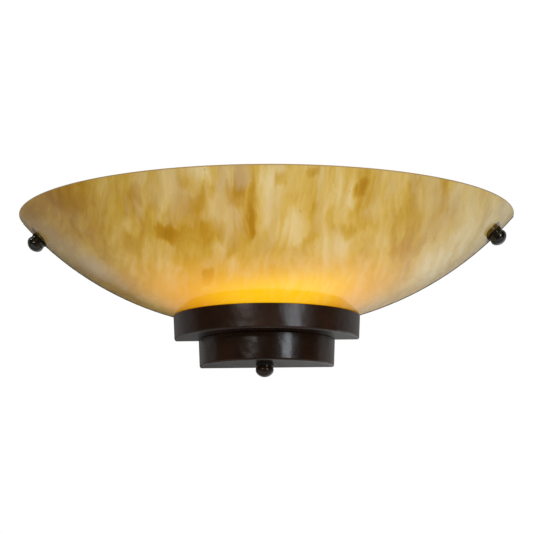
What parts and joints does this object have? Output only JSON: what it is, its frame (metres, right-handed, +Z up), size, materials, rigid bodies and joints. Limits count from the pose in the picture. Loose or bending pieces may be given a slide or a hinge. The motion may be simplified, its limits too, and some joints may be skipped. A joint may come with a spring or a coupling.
{
  "type": "flush wall light",
  "caption": "Half-bowl wall light with streaked amber glass on two stepped half-round metal tiers, held by ball nuts, open upwards, one lamp inside.",
  "frame": {"origin": "centre of the wall box, on the wall plane: the middle of the crossbar's two slots, on its back face", "axes": "+X right as seen from the room, +Z up, +Y into the wall; the light projects towards -Y"},
  "size_m": [0.5072, 0.2573, 0.1678],
  "materials": {
    "bronze_paint": "glossy dark bronze enamel",
    "bronze_paint_flat": "satin dark bronze enamel",
    "art_glass": "glossy opal glass with amber streaks, lit from inside",
    "zinc_steel": "zinc plated",
    "brass": "plain",
    "aluminium": "plain",
    "rubber": "matt",
    "phenolic": "moulded phenolic",
    "porcelain": "glazed",
    "green_screw": "green plated",
    "black_sleeve": "wire insulation",
    "white_sleeve": "wire insulation",
    "connector_shell": "moulded",
    "frosted_glass": "frosted, lit"
  },
  "bodies": {
    "root": {"back_plate": "bronze_paint_flat", "upper_tier": "bronze_paint", "lower_tier": "bronze_paint", "glass_bowl": "art_glass", "crossbar": "zinc_steel", "plate_studs": "zinc_steel", "cap_nuts": "brass", "ground_screw": "green_screw", "rod_bracket": "zinc_steel", "pop_rivets": "aluminium", "threaded_rod": "zinc_steel", "rod_nuts": "zinc_steel", "rod_washers": "zinc_steel", "bowl_upper_gasket": "rubber", "bowl_lower_gasket": "rubber", "left_arm": "bronze_paint_flat", "right_arm": "bronze_paint_flat", "left_stud": "zinc_steel", "right_stud": "zinc_steel", "stud_nuts": "zinc_steel", "left_inner_gasket": "rubber", "right_inner_gasket": "rubber", "socket_cap": "phenolic", "socket_body": "porcelain", "screw_shell": "brass", "centre_contact": "brass", "socket_nipple": "zinc_steel", "nipple_nut": "zinc_steel", "hot_lead": "black_sleeve", "neutral_lead": "white_sleeve", "wire_connectors": "connector_shell"},
    "finial_washer_body": {"finial_washer": "rubber"},
    "finial_body": {"finial": "bronze_paint"},
    "left_knob_washer_body": {"left_knob_washer": "rubber"},
    "left_knob_body": {"left_knob": "bronze_paint"},
    "right_knob_washer_body": {"right_knob_washer": "rubber"},
    "right_knob_body": {"right_knob": "bronze_paint"},
    "bulb_tip_body": {"bulb_tip_contact": "brass"},
    "bulb_body": {"bulb_base": "aluminium", "bulb_glass": "frosted_glass"}
  },
  "joints": [
    {"name": "finial_travel", "type": "slide", "parent": "root", "child": "finial_washer_body", "axis": [0, 0, -1], "range_m": [0, 0.0066]},
    {"name": "finial_turn", "type": "hinge", "parent": "finial_washer_body", "child": "finial_body", "pos_m": [0, -0.036, -0.1], "axis": [0, 0, -1], "range_deg": [0, 2520]},
    {"name": "left_knob_travel", "type": "slide", "parent": "root", "child": "left_knob_washer_body", "axis": [-0.6839, -0.0649, -0.7267], "range_m": [0, 0.00717]},
    {"name": "left_knob_turn", "type": "hinge", "parent": "left_knob_washer_body", "child": "left_knob_body", "pos_m": [-0.2317, -0.022, 0.033], "axis": [-0.6839, -0.0649, -0.7267], "range_deg": [0, 3240]},
    {"name": "right_knob_travel", "type": "slide", "parent": "root", "child": "right_knob_washer_body", "axis": [0.6839, -0.0649, -0.7267], "range_m": [0, 0.00717]},
    {"name": "right_knob_turn", "type": "hinge", "parent": "right_knob_washer_body", "child": "right_knob_body", "pos_m": [0.2317, -0.022, 0.033], "axis": [0.6839, -0.0649, -0.7267], "range_deg": [0, 3240]},
    {"name": "bulb_travel", "type": "slide", "parent": "root", "child": "bulb_tip_body", "axis": [0, -1, 0], "range_m": [0, 0.01817]},
    {"name": "bulb_turn", "type": "hinge", "parent": "bulb_tip_body", "child": "bulb_body", "pos_m": [0, -0.1, 0.012], "axis": [0, -1, 0], "range_deg": [0, 1800]}
  ],
  "couplings": [
    {"joint": "finial_travel", "follows": "finial_turn", "m_per_rad": 0.00014961},
    {"joint": "left_knob_travel", "follows": "left_knob_turn", "m_per_rad": 0.00012637},
    {"joint": "right_knob_travel", "follows": "right_knob_turn", "m_per_rad": 0.00012637},
    {"joint": "bulb_travel", "follows": "bulb_turn", "m_per_rad": 0.00057757}
  ]
}
